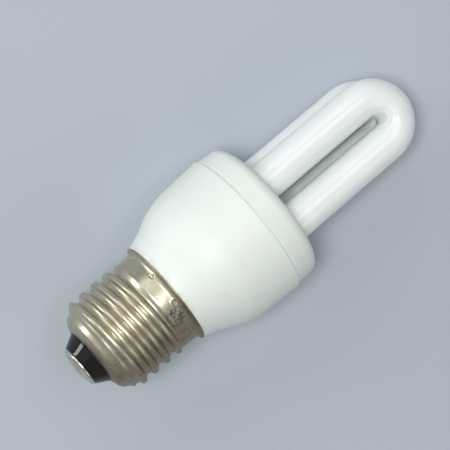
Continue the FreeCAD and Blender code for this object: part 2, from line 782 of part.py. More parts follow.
def make_film_capacitor(node, side):
    """Dipped film capacitor flat against the board, its long edges rounded."""
    body = new_body(node)
    x, y = d.film_x * side, d.film_y
    wide, long = d.film_width / 2, d.film_length / 2

    def draw(sketch):
        closed_outline(sketch, [
            (x - wide, y - long), (x + wide, y - long), (x + wide, y + long), (x - wide, y + long),
        ])

    pad(body, draw, board_level - d.film_height, d.film_height)
    round_edges(body, f"{node}_edges", d.film_edge,
                lambda edge: abs(edge.BoundBox.ZLength - d.film_height.number) < 0.001)
    return keep(body, node)


def make_transistor(number, side):
    """Half round case on three square leads."""
    name = f"transistor_{number}"
    x, y = d.transistor_x * side, -d.transistor_y
    top = board_level - d.transistor_drop
    foot = top - d.transistor_height
    barrel = rod(f"{name}_barrel", (x, y, foot), d.transistor_radius, d.transistor_height)
    reach = d.transistor_radius + d.cut_margin
    flat = block(f"{name}_flat", (x - reach, y - reach - d.transistor_flat, foot),
                 2 * reach, reach, d.transistor_height)
    case = less(f"{name}_case", barrel, flat)
    leads = [centred_block(f"{name}_lead_{step + 2}", (x + d.transistor_pitch * step, y), top,
                           d.transistor_lead, d.transistor_lead, d.transistor_drop) for step in (-1, 0, 1)]
    return keep(joined(name, [case, *leads]), name)


def make_toroid():
    """Ferrite ring flat under the board with its drive windings round it."""
    centre = (0, d.toroid_offset)
    foot = board_level - d.toroid_wire - d.toroid_height

    def ring(name, outer, bore, low, height, angle=None):
        outside = rod(f"{name}_outside", (*centre, low), outer, height, angle)
        inside = rod(f"{name}_inside", (*centre, low), bore, height, angle)
        return less(name, outside, inside)

    keep(ring("toroid_core", d.toroid_radius, d.toroid_bore, foot, d.toroid_height), "toroid_core")
    count = int(d.toroid_windings.number)
    for number in range(1, count + 1):
        name = f"toroid_winding_{number}"
        sleeve = ring(f"{name}_sleeve", d.toroid_radius + d.toroid_wire, d.toroid_bore - d.toroid_wire,
                      foot - d.toroid_wire, d.toroid_height + 2 * d.toroid_wire, d.toroid_sector)
        space = ring(f"{name}_space", d.toroid_radius, d.toroid_bore, foot, d.toroid_height)
        winding = less(name, sleeve, space)
        for item in sleeve.OutList:
            item.Placement.Rotation = FreeCAD.Rotation(Vector(0, 0, 1), 360 * number / count)
        keep(winding, name)


def make_axial(name, centre, radius, height, drop):
    """Small part standing under the board on one lead, as a folded axial part does."""
    foot = board_level - drop - height
    case = rod(f"{name}_case", (*centre, foot), radius, height)
    lead = rod(f"{name}_lead", (*centre, foot + height), d.lead_radius, drop)
    return keep(joined(name, [case, lead]), name)


def make_input_inductor():
    """Drum core with a waist of wire, standing under the board."""
    centre = (-d.fuse_x, d.fuse_y)
    foot = board_level - d.inductor_height
    drum = rod("inductor_drum", (*centre, foot), d.inductor_radius, d.inductor_height)
    waist_height = d.inductor_height - 2 * d.inductor_flange
    waist = (*centre, foot + d.inductor_flange)
    outside = rod("inductor_waist_outside", waist, d.inductor_radius + d.cut_margin, waist_height)
    inside = rod("inductor_waist_inside", waist, d.inductor_radius - d.inductor_groove, waist_height)
    return keep(less("input_inductor", drum, less("inductor_waist", outside, inside)), "input_inductor")


def make_disc_part(node, centre, along_x):
    """Flat round part on edge under the board."""
    item = doc.addObject("Part::Cylinder", f"{node}_disc")
    item.setExpression("Radius", d.disc_radius.text)
    item.setExpression("Height", d.disc_thickness.text)
    middle = board_level - d.disc_radius
    half = d.disc_thickness / 2
    if along_x:
        place(item, (sized(centre[0]) - half, centre[1], middle))
        item.Placement.Rotation = FreeCAD.Rotation(Vector(0, 1, 0), 90)
    else:
        place(item, (centre[0], sized(centre[1]) + half, middle))
        item.Placement.Rotation = FreeCAD.Rotation(Vector(1, 0, 0), 90)
    holder = doc.addObject("Part::Compound", node)
    holder.Links = [item]
    return keep(holder, node)


# Wires

def rounded_route(points, radius):
    """Straight runs joined by tangent arcs of one radius."""
    edges = []
    start = points[0]
    for before, corner, after in zip(points, points[1:], points[2:]):
        incoming = (corner - before).normalize()
        outgoing = (after - corner).normalize()
        half_turn = incoming.getAngle(outgoing) / 2
        reach = radius * math.tan(half_turn)
        first, last = corner - incoming * reach, corner + outgoing * reach
        inward = (outgoing - incoming).normalize()
        centre = corner + inward * (radius / math.cos(half_turn))
        edges.append(Part.LineSegment(start, first).toShape())
        edges.append(Part.Arc(first, centre - inward * radius, last).toShape())
        start = last
    edges.append(Part.LineSegment(start, points[-1]).toShape())
    return Part.Wire(edges)


def route_solid(points, radius, bend):
    """A round wire along a route."""
    spine = rounded_route(points, bend)
    section = Part.Wire(Part.Circle(points[0], points[1] - points[0], radius).toShape())
    return spine.makePipeShell([section], True, True)


def value(alias):
    return getattr(sheet, alias)


def make_mains_wires():
    """Live wire to the centre contact and neutral wire to the inside of the shell."""
    wire_y = -value("mains_wire_offset")
    top = board_level.number
    radius, bend = value("wire_radius"), value("wire_bend")
    live = doc.addObject("Part::Feature", "live_wire")
    live.Shape = route_solid([
        Vector(0, wire_y, top),
        Vector(0, wire_y, -value("live_bend_height")),
        Vector(0, 0, -value("live_entry_height")),
        Vector(0, 0, contact_face.number),
    ], radius, bend)
    keep(live, "live_wire")
    neutral = doc.addObject("Part::Feature", "neutral_wire")
    x = -value("neutral_wire_x")
    reach = math.sqrt(root_inside.number ** 2 - wire_y ** 2) - radius
    neutral.Shape = route_solid([
        Vector(x, wire_y, top),
        Vector(x, wire_y, -value("neutral_bend_height")),
        Vector(-reach, wire_y, -value("neutral_joint_height")),
    ], radius, bend)
    keep(neutral, "neutral_wire")


def make_tube_lead(number, centre):
    """Lead from a pinch seal down and across to its pin, where it is wrapped round."""
    name = f"tube_lead_{number}"
    radius = value("lead_radius")
    pin_x, pin_y = (size.number for size in centre)
    side = 1 if pin_y > 0 else -1
    outer = abs(pin_y) > plane_y.number
    seal_y = side * (plane_y.number + (1 if outer else -1) * value("pinch_width") / 4)
    seal_level = (d.leg_end_height - d.pinch_length).number
    wrap_inner = value("pin_side") * math.sqrt(0.5)
    wrap_outer = wrap_inner + value("wrap_wall")
    middle = board_top.number + value("pin_flange_height") + value("wrap_height") / 2
    start = Vector(-leg_x.number, seal_y, seal_level)
    corner = Vector(-leg_x.number, seal_y, middle)
    pin = Vector(pin_x, pin_y, middle)
    run = (pin - corner).normalize()
    end = pin - run * (wrap_inner + wrap_outer) / 2
    strand = route_solid([start, corner, end], radius, (seal_level - middle) * value("lead_bend_share"))
    foot = Vector(pin_x, pin_y, middle - value("wrap_height") / 2)
    wrap = Part.makeCylinder(wrap_outer, value("wrap_height"), foot)
    hollow = Part.makeCylinder(wrap_inner, value("wrap_height"), foot)
    lead = doc.addObject("Part::Feature", name)
    lead.Shape = strand.fuse(wrap).cut(hollow).removeSplitter()
    keep(lead, name)


# Resting place

def rest_placement():
    """Lays the lamp on the rounded edge of its cover and on the bend of its lower U."""
    taper = d.cover_taper.number / (d.cover_height - d.groove_height).number
    edge = value("cover_edge")
    edge_level = cover_top.number - edge
    side = cover_top_radius.number + taper * edge
    edge_radius = side - edge * math.sqrt(1 + taper ** 2)
    bend_top = d.bend_height.number + leg_x.number
    across = edge_radius - plane_y.number
    along = bend_top - edge_level
    drop = value("tube_radius") - edge
    tilt = math.acos(drop / math.hypot(along, across)) - math.atan2(along, across)
    turned = FreeCAD.Rotation(
        Vector(0, 1, 0),
        Vector(math.sin(tilt), 0, math.cos(tilt)),
        Vector(math.cos(tilt), 0, -math.sin(tilt)),
        "XYZ",
    )
    height = edge_radius * math.cos(tilt) + edge_level * math.sin(tilt) + edge
    flat = FreeCAD.Placement(Vector(0, 0, height), turned)
    whole = Part.makeCompound([piece.Shape for piece in pieces])
    whole.Placement = flat
    box = whole.optimalBoundingBox(False)
    shift = -(box.XMin + box.XMax) / 2
    print("rest: tilt", round(math.degrees(tilt), 3), "height", round(height, 3), "box", box)
    return FreeCAD.Placement(Vector(shift, 0, height), turned)


make_cap_shell()
make_cap_insulator()
make_centre_contact()
make_contact_solder()
make_housing_cup()
make_tube_cover()
make_tube_cement()
make_discharge_tube()
make_circuit_board()
for number, centre in enumerate(pin_places, start=1):
    make_wrap_pin(number, centre)
make_choke_half("choke_core_top", choke_top, -1)
make_choke_half("choke_core_bottom", choke_bottom, 1)
make_choke_bobbin()
make_choke_winding()
make_smoothing_capacitor()
make_film_capacitor("resonant_capacitor", 1)
make_film_capacitor("coupling_capacitor", -1)
for number, side in enumerate((-1, 1), start=1):
    make_transistor(number, side)
make_toroid()
diode_x = housing_bore - d.diode_margin
diode_places = [(diode_x * side, d.diode_y + d.diode_pitch * step) for side in (-1, 1) for step in (0, 1)]
for number, centre in enumerate(diode_places, start=1):
    make_axial(f"rectifier_diode_{number}", centre, d.diode_radius, d.diode_height, d.diode_drop)
resistor_places = [
    (d.resistor_x * side, -(d.resistor_y + d.resistor_pitch * step)) for side in (-1, 1) for step in (0, 1)
]
for number, centre in enumerate(resistor_places, start=1):
    make_axial(f"base_resistor_{number}", centre, d.resistor_radius, d.resistor_height, d.diode_drop)
make_axial("fuse_resistor", (d.fuse_x, d.fuse_y), d.fuse_radius, d.fuse_height, d.diode_drop)
make_axial("diac", (-d.diac_x, -d.diac_y), d.diac_radius, d.diac_height, d.diode_drop)
make_input_inductor()
make_disc_part("start_capacitor", (d.disc_x, -d.disc_y), True)
make_disc_part("thermistor", (0, d.thermistor_margin - housing_bore), False)
make_mains_wires()
for number, centre in enumerate(pin_places, start=1):
    make_tube_lead(number, centre)

doc.recompute()
resting = rest_placement()
for piece in pieces:
    piece.Placement = resting
doc.recompute()

for item in doc.Objects:
    if "Invalid" in item.State or "Error" in item.State:
        raise RuntimeError(f"{item.Name} is {item.State}")
os.makedirs("parts", exist_ok=True)
for piece in pieces:
    shape = piece.Shape
    if shape.isNull() or not shape.isValid() or not shape.Solids:
        raise RuntimeError(f"{piece.Label} has no valid solid")
    print(piece.Label, "solids", len(shape.Solids), "volume", round(shape.Volume, 2))
    shape.exportStep(f"parts/{piece.Label}.step")
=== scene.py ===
# %% [markdown]
# This lesson dresses a compact fluorescent lamp that was drawn in CAD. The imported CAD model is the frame: it
# says where every piece is, in metres. Nothing here reads any other file, and nothing on the lamp moves.

import json
import math

import bmesh
import bpy
from mathutils import Matrix, Vector


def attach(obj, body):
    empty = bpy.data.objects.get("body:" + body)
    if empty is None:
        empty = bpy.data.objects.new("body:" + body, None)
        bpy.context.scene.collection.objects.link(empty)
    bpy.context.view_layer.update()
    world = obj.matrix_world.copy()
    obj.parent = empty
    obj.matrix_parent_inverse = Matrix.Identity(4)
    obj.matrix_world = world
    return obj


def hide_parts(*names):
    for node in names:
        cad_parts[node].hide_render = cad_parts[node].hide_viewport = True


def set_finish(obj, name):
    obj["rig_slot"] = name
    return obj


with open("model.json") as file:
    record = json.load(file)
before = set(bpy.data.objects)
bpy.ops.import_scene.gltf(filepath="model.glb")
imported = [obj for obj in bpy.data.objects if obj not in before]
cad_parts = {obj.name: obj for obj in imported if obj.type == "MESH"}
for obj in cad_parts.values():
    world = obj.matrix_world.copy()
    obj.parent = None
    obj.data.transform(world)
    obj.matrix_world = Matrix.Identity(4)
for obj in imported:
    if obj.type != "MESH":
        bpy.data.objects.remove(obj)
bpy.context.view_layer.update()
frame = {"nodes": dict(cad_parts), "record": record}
nodes = frame["nodes"]
mm = 0.001

# %% [markdown]
# The lamp lies on its side, so its own axis is tilted. Drawing is easier in the lamp's own frame: Z runs from
# the screw cap to the glass tubes, Z = 0 is the cap's rim, and the flat of each U lies along X. The record's
# mount on the rim gives the place and the direction, so one matrix carries a finished piece to where it lies.

# %% The lamp's own frame
rim_mount = next(mount for mount in frame["record"]["mounts"] if mount["name"] == "screw_cap")
rim_centre = Vector(rim_mount["pos_m"])
along = -Vector(rim_mount["axis"]).normalized()
across = Vector((0, 1, 0))
above = along.cross(across).normalized()
lamp_matrix = Matrix((
    (across.x, above.x, along.x, rim_centre.x),
    (across.y, above.y, along.y, rim_centre.y),
    (across.z, above.z, along.z, rim_centre.z),
    (0, 0, 0, 1),
))
print("tilt:", round(math.degrees(math.asin(-along.z)), 2), "degrees")

# %% [markdown]
# Sizes that more than one piece needs, in millimetres in the lamp's frame. They are the ones the CAD source
# uses, so each dressed piece stays where its solid is. Other sizes stand in the cell of their own piece.

# %% Shared sizes
SOLDER_TIP = -28.3
BUTTON_END = -26.9
SEAM_HEIGHT = 25.4
TUBE_RADIUS = 4.75
LEG_X = 5.95
PLANE_Y = 6.0
BEND_HEIGHT = 64.1
print("overall length:", round(BEND_HEIGHT + LEG_X + TUBE_RADIUS - SOLDER_TIP, 1), "mm along the axis")

# %% [markdown]
# The camera comes first, because every later comparison depends on it. The photograph looks down on the lying
# lamp from about half a metre, with the cap a little nearer than the tubes, so the camera is placed by two
# angles round the lamp and then rolled until the axis runs up to the right. The lens follows from how much
# the ellipses of the rim and the seam open along the lamp.

# %% Camera
IMAGE_SIDE = 450
SENSOR_WIDTH = 36.0
FOCAL_PIXELS = 2016.0
CAMERA_DISTANCE = 483.856
LEAN_ALONG = math.radians(10.349)
LEAN_ROUND = math.radians(10.131)
ROLL = math.radians(40.465)
TARGET_SIDEWAYS = -3.181
TARGET_HEIGHT = 21.481
NEAREST_SEEN = 0.01

to_camera = Vector((
    math.cos(LEAN_ALONG) * math.sin(LEAN_ROUND),
    math.cos(LEAN_ALONG) * math.cos(LEAN_ROUND),
    -math.sin(LEAN_ALONG),
))
image_across = Vector((-math.cos(LEAN_ROUND), math.sin(LEAN_ROUND), 0))
image_along = to_camera.cross(image_across).normalized()
image_right = math.cos(ROLL) * image_along + math.sin(ROLL) * image_across
image_up = math.sin(ROLL) * image_along - math.cos(ROLL) * image_across
target = TARGET_SIDEWAYS * image_across + Vector((0, 0, TARGET_HEIGHT))
camera_place = (target + CAMERA_DISTANCE * to_camera) * mm

bpy.ops.object.camera_add(location=(0, 0, 0))
camera = bpy.context.object
camera.name = "camera"
camera.data.sensor_width = SENSOR_WIDTH
camera.data.lens = FOCAL_PIXELS / IMAGE_SIDE * SENSOR_WIDTH
camera.data.clip_start = NEAREST_SEEN
turn = lamp_matrix.to_3x3() @ Matrix((image_right, image_up, to_camera)).transposed()
camera.matrix_world = Matrix.Translation(lamp_matrix @ camera_place) @ turn.to_4x4()
bpy.context.scene.camera = camera
print("camera:", [round(v, 3) for v in camera.matrix_world.translation], "lens", round(camera.data.lens, 1))

# %% [markdown]
# Most pieces of a lamp are turned or blown, so an outline spun round the axis is the natural start. An
# outline is a list of radius and height. Two helpers fill in its arcs and lines, because a wall needs points
# close together where it curves, and rings close together where it will be reshaped.

# %% Outlines
def arc(start, end, radius, left, count):
    """Points on an arc of an outline after its start, with the centre on the left or right of the way."""
    start, end = Vector(start), Vector(end)
    chord = end - start
    side = Vector((-chord.y, chord.x)).normalized() * (1 if left else -1)
    centre = (start + end) / 2 + side * math.sqrt(max(radius ** 2 - chord.length ** 2 / 4, 0))
    first = math.atan2(start.y - centre.y, start.x - centre.x)
    sweep = 2 * math.asin(min(chord.length / 2 / radius, 1)) * (1 if left else -1)
    angles = [first + sweep * step / count for step in range(1, count + 1)]
    return [(centre.x + radius * math.cos(a), centre.y + radius * math.sin(a)) for a in angles]


def straight(start, end, count):
    """Points on a line of an outline after its start."""
    start, end = Vector(start), Vector(end)
    return [tuple(start.lerp(end, step / count)) for step in range(1, count + 1)]


# %% [markdown]
# The outline is drawn the way a hand would: a plane is merged to one point, and the point is pulled along the
# outline. Spin turns it, the first and last ring are merged, and only then are the normals set, because spin
# can leave a shape inside out.

# %% Turning
MERGE_DISTANCE = 0.002
# Faces round a piece: many where the thread winds, few on what is small.
THREAD_STEPS, WIDE_STEPS, SMALL_STEPS, DROP_STEPS = 288, 160, 96, 64


def only(piece):
    """Leaves one object selected and active."""
    bpy.ops.object.select_all(action="DESELECT")
    piece.select_set(True)
    bpy.context.view_layer.objects.active = piece


def tidy_normals():
    """Merges doubled points, then turns every face outwards. Edit mode only."""
    bpy.ops.mesh.select_all(action="SELECT")
    bpy.ops.mesh.remove_doubles(threshold=MERGE_DISTANCE * mm)
    bpy.ops.mesh.normals_make_consistent(inside=False)


def turned(name, outline, steps):
    """Spins an outline of radius and height, in mm, round the lamp's axis."""
    bpy.ops.object.select_all(action="DESELECT")
    bpy.ops.mesh.primitive_plane_add(size=mm)
    piece = bpy.context.object
    piece.name = piece.data.name = name
    bpy.ops.object.mode_set(mode="EDIT")
    bpy.ops.mesh.merge(type="CENTER")
    place = Vector((0, 0, 0))
    for index, (radius, height) in enumerate(outline):
        step = Vector((radius * mm, 0, height * mm)) - place
        if index == 0:
            bpy.ops.transform.translate(value=step)
        else:
            bpy.ops.mesh.extrude_vertices_move(TRANSFORM_OT_translate={"value": step})
        place += step
    bpy.ops.mesh.select_all(action="SELECT")
    bpy.ops.mesh.spin(steps=steps, angle=2 * math.pi, center=(0, 0, 0), axis=(0, 0, 1))
    tidy_normals()
    bpy.ops.object.mode_set(mode="OBJECT")
    return piece


# %% [markdown]
# Each piece ends in the same way. Its modifiers are applied, it is carried to where the lamp lies, and it is
# smoothed by angle, so that round walls look round and edges stay sharp. Then the frame is told which body it
# rides on and which slot its finish comes from, and the CAD node that it stands for is hidden.

# %% Finishing a piece
def apply_modifier(piece, kind, **settings):
    only(piece)
    modifier = piece.modifiers.new(kind.title(), kind)
    for key, value in settings.items():
        setattr(modifier, key, value)
    bpy.ops.object.modifier_apply(modifier=modifier.name)


def lay_down(piece, slot, *replaced, smooth=35):
    """Carries a piece from the lamp's frame to where the lamp lies, and ties it to the frame."""
    only(piece)
    piece.matrix_world = lamp_matrix
    bpy.ops.object.transform_apply(location=True, rotation=True, scale=True)
    bpy.ops.object.shade_smooth_by_angle(angle=math.radians(smooth))
    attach(piece, "root")
    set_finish(piece, slot)
    if replaced:
        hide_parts(*replaced)
    print(piece.name, "faces:", len(piece.data.polygons))


# %% [markdown]
# The screw cap is rolled from thin plated sheet, so it starts as the sleeve that goes into the rollers: a
# flared lip, a collar and a straight wall. A screw operator could wind a thread, but its ends would have to
# be joined to the lip and the round end by hand. A sleeve with many close rings can be rolled all in one.

# %% Plain sleeve
RIM_RADIUS = 13.8
COLLAR_RADIUS = 12.5
COLLAR_END = -3.9
FLARE_HEIGHT = 1.9
FLARE_BEND = 1.6
FLARE_SWEEP = math.radians(74)
FLARE_STEPS = 12
WALL_END = -19.5
SHELL_END = -23.4
SHELL_MOUTH = (7.45, -23.42)
COLLAR_RINGS, WALL_RINGS, END_RINGS = 13, 104, 22

shell_outline = [(RIM_RADIUS - 0.5, -0.25), (RIM_RADIUS - 0.2, -0.02), (RIM_RADIUS - 0.05, -0.03),
                 (RIM_RADIUS, -0.12), (RIM_RADIUS - 0.03, -0.3)]
for step in range(FLARE_STEPS, -1, -1):
    sweep = FLARE_SWEEP * step / FLARE_STEPS
    shell_outline.append((COLLAR_RADIUS + FLARE_BEND * (1 - math.cos(sweep)),
                          FLARE_BEND * math.sin(sweep) - FLARE_HEIGHT))
shell_outline += straight((COLLAR_RADIUS, -FLARE_HEIGHT), (COLLAR_RADIUS, COLLAR_END), COLLAR_RINGS)
shell_outline += straight((COLLAR_RADIUS, COLLAR_END), (COLLAR_RADIUS, WALL_END), WALL_RINGS)
shell_outline += straight((COLLAR_RADIUS, WALL_END), (COLLAR_RADIUS, SHELL_END), END_RINGS) + [SHELL_MOUTH]
screw_shell = turned("screw_shell", shell_outline, THREAD_STEPS)
print("sleeve points:", len(screw_shell.data.vertices))

# %% [markdown]
# Rollers press the thread in: a narrow round crest and a wider round root that meet on one slope. It climbs
# one pitch per turn, fades out towards the collar, and at the bottom gives way to the shell's round end. So
# the radius of each point follows from its angle and its height alone.

# %% Thread
CREST_RADIUS = 13.1
CREST_ARC = 0.80
ROOT_ARC = 1.12
THREAD_PITCH = 3.629
# The sine of the steepest angle: half a pitch holds one side of a crest and one of a root.
THREAD_SLOPE = THREAD_PITCH / 2 / (CREST_ARC + ROOT_ARC)
THREAD_DEPTH = (CREST_ARC + ROOT_ARC) * (1 - math.sqrt(1 - THREAD_SLOPE ** 2))
FIRST_CREST = -8.35
THREAD_TOP = -4.5
THREAD_FULL = -6.6
END_CURVE = [(13.12, -18.7), (13.0, -19.2), (12.45, -19.75), (11.7, -20.35), (11.15, -20.85), (10.8, -21.4),
             (10.55, -21.95), (10.1, -22.45), (9.3, -22.85), (8.5, -23.15), (7.7, SHELL_END)]
END_BLEND = 0.25
print("thread depth:", round(THREAD_DEPTH, 2), "mm")


def thread_wave(turns):
    """Height of the thread between root and crest, 0 to 1, at a number of turns away from a crest."""
    gap = abs(turns - round(turns)) * THREAD_PITCH
    if gap < CREST_ARC * THREAD_SLOPE:
        drop = CREST_ARC - math.sqrt(CREST_ARC ** 2 - gap ** 2)
    else:
        drop = THREAD_DEPTH - ROOT_ARC + math.sqrt(ROOT_ARC ** 2 - (THREAD_PITCH / 2 - gap) ** 2)
    return 1 - drop / THREAD_DEPTH


def fade(value, low, high):
    """0 below low, 1 above high, smooth between."""
    share = min(max((value - low) / (high - low), 0), 1)
    return share * share * (3 - 2 * share)


def end_radius(height):
    """Radius of the shell's round end at a height."""
    for (r0, z0), (r1, z1) in zip(END_CURVE, END_CURVE[1:]):
        if z1 <= height <= z0:
            return r0 + (r1 - r0) * (z0 - height) / (z0 - z1)
    return END_CURVE[0][0] if height > END_CURVE[0][1] else END_CURVE[-1][0]


def rolled_radius(angle, height):
    """Radius of the threaded wall, with a soft change to the round end where they meet."""
    wave = thread_wave((height - FIRST_CREST) / THREAD_PITCH - angle / math.tau)
    rolled = CREST_RADIUS - THREAD_DEPTH + THREAD_DEPTH * wave
    share = 1 - fade(height, THREAD_FULL, THREAD_TOP)
    rolled = COLLAR_RADIUS + (rolled - COLLAR_RADIUS) * share
    limit = end_radius(height)
    near = max(END_BLEND - abs(rolled - limit), 0) / END_BLEND
    return min(rolled, limit) - near * near * END_BLEND / 4


# %% [markdown]
# A punch then presses small marks into the collar, which hold the housing's neck, and raises a burr round
# each. The marks are geometry, not only bump, because they show on the collar's edge and catch the light. The
# wall gets its thickness last, inwards, so that the outside stays where the solid has it.

# %% Screw shell
SHEET = 0.3
LIP_END = -0.9
PUNCH_ANGLES = (12, 56, 93, 133, 173, 213, 253, 293, 332)
PUNCH_LEVEL = -1.85
PUNCH_WAVER = 0.25
PUNCH_SIZE = 0.52
PUNCH_DEPTH = 0.45
PUNCH_REACH = 3
BURR_PLACE = 1.3
BURR_HEIGHT = 0.2
# Angle in degrees, height, size and depth of each mark, the last of them a scratch.
marks = [(mark, PUNCH_LEVEL - PUNCH_WAVER * math.sin(mark), PUNCH_SIZE, PUNCH_DEPTH) for mark in PUNCH_ANGLES]
marks.append((78, -3.95, 0.3, 0.12))


def punched(angle, height):
    """How deep the marks press the collar in, less the burr round them."""
    depth = 0
    for mark, level, size, deepest in marks:
        turn_away = math.remainder(angle - math.radians(mark), math.tau)
        away = math.hypot(turn_away * COLLAR_RADIUS, height - level) / size
        if away < PUNCH_REACH:
            burr = BURR_HEIGHT * math.exp(-4 * (away - BURR_PLACE) ** 2)
            depth += deepest * (math.exp(-2 * away ** 2) - burr)
    return depth


for vertex in screw_shell.data.vertices:
    x, y, z = (value / mm for value in vertex.co)
    radius = math.hypot(x, y)
    angle = math.atan2(y, x)
    if THREAD_TOP < z < LIP_END:
        radius -= punched(angle, z)
    elif SHELL_MOUTH[1] + 0.01 < z <= THREAD_TOP:
        radius = rolled_radius(angle, z)
    vertex.co.x = radius * math.cos(angle) * mm
    vertex.co.y = radius * math.sin(angle) * mm
apply_modifier(screw_shell, "SOLIDIFY", thickness=SHEET * mm, offset=-1, use_even_offset=False)
lay_down(screw_shell, "nickel_plate", "cap_shell", smooth=60)

# %% [markdown]
# Black glass is poured into the end of the shell and insulates the centre contact. It is glossy and has soft
# edges where it cooled. A bevelled cone would round every edge alike, so the outline has its own small arc at
# each corner.

# %% Glass button
MOUTH = -23.46
button_outline = [(0.55, BUTTON_END), (5.15, BUTTON_END)]
button_outline += arc((5.15, BUTTON_END), (5.62, BUTTON_END + 0.42), 0.5, True, 6)
button_outline += straight((5.62, BUTTON_END + 0.42), (7.3, MOUTH - 0.12), 10)
button_outline += arc((7.3, MOUTH - 0.12), (7.42, MOUTH + 0.1), 0.3, True, 3)
button_outline += [(7.42, MOUTH + 0.4), (9.8, -22.05), (10.2, -21.4), (9.6, -21.2), (0.55, -21.2),
                   (0.55, BUTTON_END)]
glass_button = turned("glass_button", button_outline, SMALL_STEPS)
lay_down(glass_button, "black_glass", "cap_insulator")

# %% [markdown]
# The centre contact is a small pressed cup of plated sheet over the end of the glass. Its edge is drawn over
# a radius and its middle is pierced for the wire, so its outline is a closed loop as thick as the sheet. A
# Solidify modifier would do too, but it would leave the sheet's edge square.

# %% Centre contact
CONTACT_RADIUS = 5.2
CONTACT_FACE = -28.04
CONTACT_SHEET = 0.35
contact_outline = [(0.6, CONTACT_FACE), (2.3, CONTACT_FACE)]
contact_outline += arc((2.3, CONTACT_FACE), (4.9, CONTACT_FACE + 0.58), 5.6, True, 10)
contact_outline += arc((4.9, CONTACT_FACE + 0.58), (CONTACT_RADIUS, CONTACT_FACE + 0.95), 0.5, True, 5)
contact_outline += [(CONTACT_RADIUS, BUTTON_END + 0.02), (CONTACT_RADIUS - CONTACT_SHEET, BUTTON_END + 0.02),
                    (CONTACT_RADIUS - CONTACT_SHEET, CONTACT_FACE + 1.0), (4.6, CONTACT_FACE + 0.82),
                    (2.3, CONTACT_FACE + CONTACT_SHEET), (0.6, CONTACT_FACE + CONTACT_SHEET),
                    (0.6, CONTACT_FACE)]
contact_plate = turned("contact_plate", contact_outline, SMALL_STEPS)
lay_down(contact_plate, "contact_plate", "centre_contact")

# %% [markdown]
# A dome of solder closes the hole in the contact. It is a low, slightly uneven drop, so it is turned as a
# smooth dome first and its points are then moved by a few smooth waves.

# %% Solder
solder_outline = [(0, CONTACT_FACE + 0.02), (1.9, CONTACT_FACE + 0.02), (2.15, CONTACT_FACE - 0.02)]
solder_outline += arc((2.15, CONTACT_FACE - 0.02), (0, CONTACT_FACE - 0.28), 7.5, False, 10)
solder_dot = turned("solder_dot", solder_outline, DROP_STEPS)
for vertex in solder_dot.data.vertices:
    angle = math.atan2(vertex.co.y, vertex.co.x)
    swell = 1 - 0.05 * (1 + math.sin(3 * angle + 0.7)) / 2 - 0.04 * (1 + math.sin(5 * angle)) / 2
    vertex.co.x *= swell
    vertex.co.y *= swell
lay_down(solder_dot, "solder", "contact_solder")

# %% [markdown]
# The housing is one moulded cup: hollow where it leaves the cap, round at the shoulder and nearly straight up
# to the seam. A real moulding has small radii at every edge, and those catch the light. A bevel modifier
# would put the same radius on all of them, so the outline adds them. The neck reaches down inside the cap's
# collar.

# %% Housing
SEAM_RADIUS = 19.33
SEAM_EDGE = 0.18
BORE = 17.73
LEDGE_BORE = 16.23
LEDGE_HEIGHT = 17.0
NECK_BORE = 11.0
NECK_END = -4.3
housing_outline = [(13.5, -0.02), (13.72, 0.0)]
housing_outline += arc((13.72, 0.0), (13.86, 0.14), 0.15, True, 3)
housing_outline += arc((13.86, 0.14), (16.05, 5.74), 23.85, False, 18)
housing_outline += arc((16.05, 5.74), (18.84, 15.57), 23.2, True, 26)
seam_edge_start = (SEAM_RADIUS, SEAM_HEIGHT - SEAM_EDGE)
housing_outline += straight((18.84, 15.57), seam_edge_start, 12)
housing_outline += arc(seam_edge_start, (SEAM_RADIUS - SEAM_EDGE, SEAM_HEIGHT), SEAM_EDGE, True, 4)
housing_outline += [(BORE + 0.1, SEAM_HEIGHT), (BORE, SEAM_HEIGHT - 0.1), (BORE, LEDGE_HEIGHT),
                    (LEDGE_BORE, LEDGE_HEIGHT), (LEDGE_BORE, 9.0), (NECK_BORE, 0.0), (NECK_BORE, NECK_END),
                    (12.15, NECK_END), (12.15, -1.9), (12.25, -1.0), (12.55, -0.45), (13.0, -0.1),
                    (13.5, -0.02)]
housing_shell = turned("housing_shell", housing_outline, WIDE_STEPS)
lay_down(housing_shell, "white_moulding", "housing_cup")

# %% [markdown]
# The cover is a second moulding that plugs into the housing. A shadow groove marks the seam, and a fine line
# runs beside it. Both are in the outline, because a groove painted on would vanish from the side. The four
# tube holes are cut with cylinders and a Boolean, a little wider than the glass.

# %% Tube cover
COVER_RADIUS = 18.95
COVER_TOP_RADIUS = 18.48
COVER_TOP = 32.52
COVER_EDGE = 2.97
COVER_WALL = 1.5
PLUG_RADIUS = 17.63
PLUG_BORE = 16.43
PLUG_DEPTH = 3.0
HOLE_RADIUS = TUBE_RADIUS + 0.15
DRILL_LENGTH = 6
groove = COVER_RADIUS - 0.16
fine_line = SEAM_HEIGHT + 0.68
taper = (COVER_RADIUS - COVER_TOP_RADIUS) / (COVER_TOP - SEAM_HEIGHT)
edge_start = (COVER_TOP_RADIUS + taper * COVER_EDGE, COVER_TOP - COVER_EDGE)
edge_end = (COVER_TOP_RADIUS - COVER_EDGE + 0.15, COVER_TOP)
cover_outline = [(PLUG_RADIUS, SEAM_HEIGHT - PLUG_DEPTH), (PLUG_RADIUS, SEAM_HEIGHT), (groove, SEAM_HEIGHT),
                 (groove, SEAM_HEIGHT + 0.14)]
cover_outline += arc((COVER_RADIUS - 0.12, SEAM_HEIGHT + 0.14), (COVER_RADIUS, SEAM_HEIGHT + 0.26),
                     0.12, True, 3)
cover_outline += [(COVER_RADIUS - 0.01, fine_line - 0.12), (COVER_RADIUS - 0.13, fine_line - 0.03),
                  (COVER_RADIUS - 0.13, fine_line + 0.03), (COVER_RADIUS - 0.03, fine_line + 0.12)]
cover_outline += straight((COVER_RADIUS - 0.03, fine_line + 0.12), edge_start, 8)
